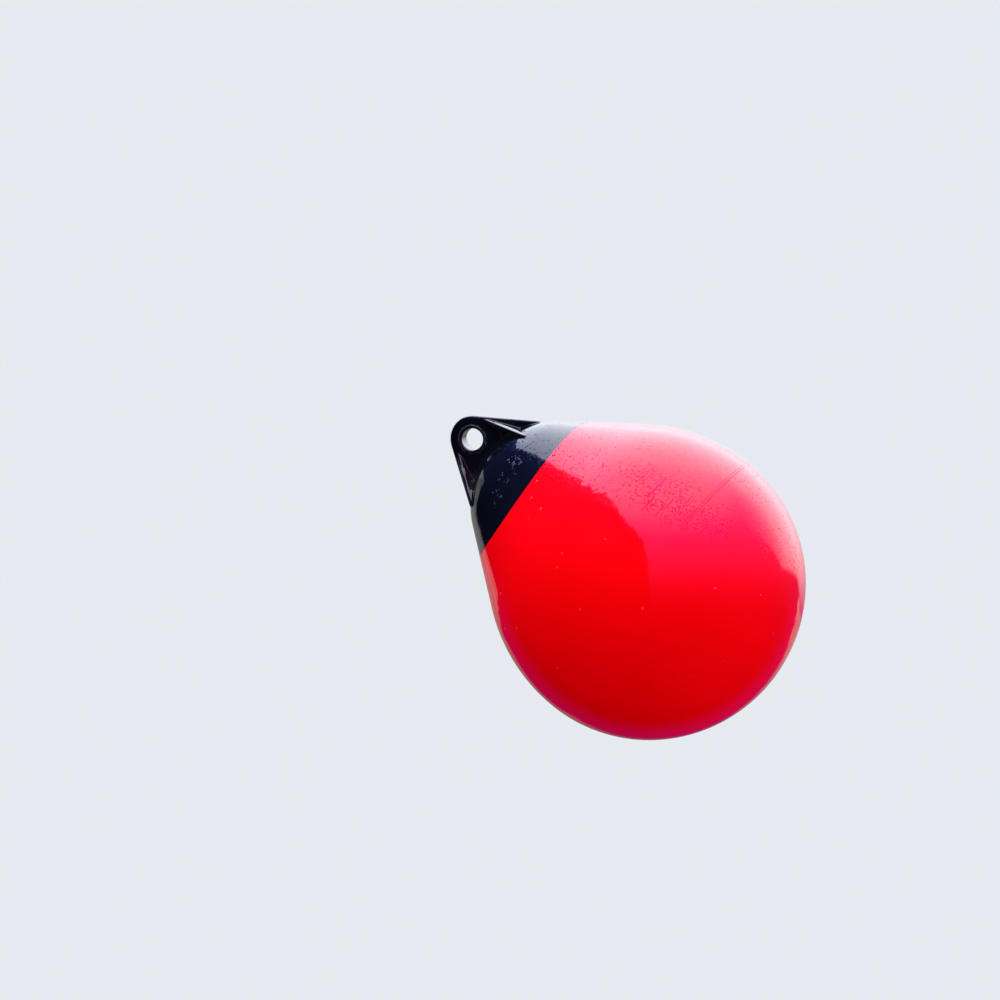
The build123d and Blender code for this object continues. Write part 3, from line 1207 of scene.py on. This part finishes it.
    def paint(self) -> Socket:
        """Returns the colour that the gloss mirrors, where the open panel is about 1."""
        bench = self.bench
        far = bench.times(self.behind, bench.span(self.half_up, *self.far_day))
        front = bench.ramp(self.half_up, self.front_fade)
        day = bench.most(bench.span(front, *self.front_day), far)
        open_sky = bench.mix(bench.span(self.across, *self.open_across), self.overhead, self.beyond)
        left = bench.span(self.across, *self.night_across)
        left = bench.times(left, bench.span(self.astern, *self.night_astern))
        panel = bench.mix(day, bench.mix(left, self.dusk, self.night), open_sky)
        back = bench.ramp(self.half_up, self.back_fade)
        back = bench.times(back, bench.span(self.astern, *self.astern_dim))
        sky = self.carded(panel, bench.mix(self.behind, front, back))
        low = bench.span(self.astern, *self.haze_astern)
        low = bench.times(low, bench.span(self.up, *self.haze_up), self.haze_share)
        sky = bench.vector("ADD", sky, bench.scaled(self.haze, low)).outputs[0]

        clock = bench.turned(self.up, self.across)
        past = bench.minus(self.astern, bench.ramp(clock, compass(self.horizon_reach, cosine)))
        band = bench.plus(past, bench.times(self.fine, self.rim_wrinkle))
        band = bench.span(band, -self.rim_soft, self.rim_soft)
        band = bench.times(band, bench.span(self.behind, *self.rim_behind))
        earth = bench.mix(bench.span(self.up, *self.ground_up), self.horizon, self.ground)
        shine = bench.times(bench.ramp(clock, compass(self.horizon_glow)), self.streaks())
        return bench.mix(band, sky, bench.scaled(earth, shine))

    def past_back_edge(self) -> Socket:
        """Returns 1 above the edge of the brighter back of the panel, and 0 below."""
        bench = self.bench
        edge = bench.ramp(self.turn, compass(self.back_edge, half_sine))
        soft = bench.ramp(self.turn, compass(self.back_soft))
        return bench.span(bench.over(bench.minus(self.half_up, edge), soft), -1.0, 1.0)

    def carded(self, panel: Socket, glow: Socket) -> Socket:
        """Lays the dark card under the panel, with a broken thread of light below its edge.

        Args:
            panel: The open panel's colour.
            glow: How bright the panel is.

        Returns:
            The panel and the card.
        """
        bench = self.bench
        coarse = bench.minus(bench.noise(self.way, *self.ripple), 0.5)
        wobble = bench.times(coarse, self.ripple_depth)
        wobble = bench.plus(wobble, bench.times(self.fine, self.wrinkle_depth))
        edge = bench.ramp(self.turn, compass(self.card_edge, half_sine))
        rise = bench.minus(bench.plus(self.half_up, wobble), edge)
        clear = bench.span(rise, -self.card_soft, self.card_soft)
        lower = bench.plus(rise, bench.times(self.fine, self.thread_wrinkle), self.thread_drop)
        thread = bench.times(
            bench.span(bench.size(lower), *self.thread_span),
            bench.pattern(self.way, self.thread),
            bench.span(self.turn, *self.thread_from),
            bench.span(self.turn, *self.thread_to),
            self.thread_glow,
        )
        top = self.verge_gain * self.card_share
        verge = bench.span(rise, self.verge_drop, 0.0, self.card_share, top)
        strength = bench.times(glow, bench.most(clear, thread, verge))
        return bench.scaled(bench.mix(clear, self.card, panel), strength)

    def streaks(self) -> Socket:
        """Returns the rim's streaks, which run along the limbs and end far astern."""
        bench = self.bench
        rings = bench.times(self.astern, self.streak_rings)
        places = {0: bench.noise(self.way, self.streak_scale), 1: rings}
        drawn = bench.add("CombineXYZ", places).outputs[0]
        end = bench.span(self.astern, *self.streak_end)
        return bench.mix(end, bench.pattern(drawn, self.streak), self.streak_rest)


@dataclass
class Studio:
    """Camera, pale surround, soft light and floor."""

    azimuth: float = math.radians(14.0)
    elevation: float = math.radians(-5.0)
    tilt: Pair = (0.640, 0.768)
    target: Triple = (0.0, 0.0, -0.41)
    target_pixel: Pair = (650.8, 585.1)
    metres_per_pixel: float = 0.0017675
    distance: float = 5.0
    sensor: float = 36.0
    clip_end: float = 60.0
    pale: Colour = (0.79, 0.825, 0.875)
    white: Colour = (1.0, 1.0, 1.0)
    panel: float = 5.0
    fill: float = 0.7
    fill_towards: float = 0.3
    fill_across: float = -0.26
    fill_least: float = 0.08
    lamp_size: float = 2.6
    lamp_watts: float = 60.0
    lamp_reach: float = 3.2
    lamp_lean: Pair = (0.35, 0.1)
    floor_level: float = -2.0
    floor_radius: float = 2.4
    floor_steps: int = 96
    floor_fade: Pair = (0.35, 0.98)
    floor_paint: Colour = (0.8, 0.83, 0.87)

    def __post_init__(self) -> None:
        """Works out the picture's right, up and back directions."""
        a, e = self.azimuth, self.elevation
        level = Vector((math.cos(a), math.sin(a), 0.0))
        upright = Vector((-math.sin(a) * math.sin(e), math.cos(a) * math.sin(e), math.cos(e)))
        self.back = Vector((math.sin(a) * math.cos(e), -math.cos(a) * math.cos(e), math.sin(e)))
        self.right = (level * self.tilt[0] - upright * self.tilt[1]).normalized()
        self.up = (level * self.tilt[1] + upright * self.tilt[0]).normalized()

    def build(self) -> None:
        """Sets up the whole studio."""
        bpy.context.scene.view_settings.view_transform = "Standard"
        self.camera()
        self.surround()
        self.softbox()
        self.floor()

    def camera(self) -> None:
        """Places the camera so that the buoy lies where the picture has it."""
        centre = Vector(self.target)
        place = centre + self.back * self.distance
        aside = (self.target_pixel[0] - PICTURE / 2) * self.metres_per_pixel
        below = (self.target_pixel[1] - PICTURE / 2) * self.metres_per_pixel
        aim = centre - self.right * aside + self.up * below
        back = (place - aim).normalized()
        right = self.up.cross(back).normalized()
        axes = Matrix((right, back.cross(right), back)).transposed()
        data = bpy.data.cameras.new("camera")
        data.sensor_width = self.sensor
        depth = (place - centre).dot(back)
        data.lens = self.sensor * depth / (PICTURE * self.metres_per_pixel)
        data.clip_end = self.clip_end
        camera = linked("camera", data)
        camera.matrix_world = Matrix.Translation(place) @ axes.to_4x4()
        bpy.context.scene.camera = camera

    def surround(self) -> None:
        """Makes the world: pale to the camera, soft fill to the colours, the panel to the gloss."""
        world = bpy.data.worlds.new("surround")
        bpy.context.scene.world = world
        world.use_nodes = True
        bench = Bench(world.node_tree)
        way = bench.add("TexCoord").outputs["Generated"]
        axes = (self.up, self.right, self.back)
        up, across, towards = (bench.dot(way, tuple(axis)) for axis in axes)
        ahead = bench.times(towards, self.fill_towards)
        fill = bench.plus(up, self.fill, ahead, bench.times(across, self.fill_across))
        fill = bench.most(fill, self.fill_least)
        light = bench.add("Background", {"Color": self.white, "Strength": fill})
        mirrored = Overcast(bench, way, up, across, towards).paint()
        sheen = bench.add("Background", {"Color": mirrored})
        sheen.inputs["Strength"].default_value = self.panel
        plain = bench.add("Background", {"Color": self.pale, "Strength": 1.0})
        rays = bench.add("LightPath").outputs
        lit = bench.blend(rays["Is Glossy Ray"], light, sheen)
        seen = bench.most(rays["Is Camera Ray"], rays["Is Transmission Ray"])
        bench.add("OutputWorld", {"Surface": bench.blend(seen, lit, plain).outputs[0]})

    def softbox(self) -> None:
        """Hangs one large soft lamp on the picture's upper side."""
        data = bpy.data.lights.new("softbox", "AREA")
        data.shape = "DISK"
        data.size = self.lamp_size
        data.energy = self.lamp_watts
        lamp = linked("softbox", data)
        way = self.up + self.back * self.lamp_lean[0] + self.right * self.lamp_lean[1]
        way.normalize()
        lamp.location = Vector(self.target) + way * self.lamp_reach
        lamp.rotation_euler = way.to_track_quat("Z", "Y").to_euler()
        lamp.visible_camera = False
        lamp.visible_glossy = False

    def floor(self) -> None:
        """Lays a round pale floor, well below the buoy, that fades out and is clear from below."""
        mesh = bmesh.new()
        radius = self.floor_radius
        bmesh.ops.create_circle(mesh, cap_ends=True, segments=self.floor_steps, radius=radius)
        bmesh.ops.translate(mesh, verts=mesh.verts, vec=(0.0, 0.0, self.floor_level))
        data = bpy.data.meshes.new("floor")
        mesh.to_mesh(data)
        mesh.free()
        material = bpy.data.materials.new("floor_paint")
        material.use_nodes = True
        bench = Bench(material.node_tree)
        place = bench.add("TexCoord").outputs["Object"]
        flat = bench.vector("MULTIPLY", place, (1.0, 1.0, 0.0)).outputs[0]
        reach = bench.add("VectorMath", {0: flat}, operation="LENGTH").outputs["Value"]
        fade = bench.span(reach, *(share * radius for share in self.floor_fade))
        fade = bench.most(fade, bench.add("NewGeometry").outputs["Backfacing"])
        paint = bench.add("BsdfDiffuse", {"Color": self.floor_paint})
        both = bench.blend(fade, paint, bench.add("BsdfTransparent"))
        bench.add("OutputMaterial", {"Surface": both.outputs[0]})
        data.materials.append(material)
        made = linked("floor", data)
        made.visible_glossy = False


def main() -> None:
    """Builds the studio and the buoy."""
    logging.basicConfig(level=logging.INFO, format="%(name)s %(message)s")
    Studio().build()
    InflatedSkin().build()
    EyeEnd().build()
    AirValve().build()
    bpy.context.view_layer.update()


if __name__ == "__main__":
    main()
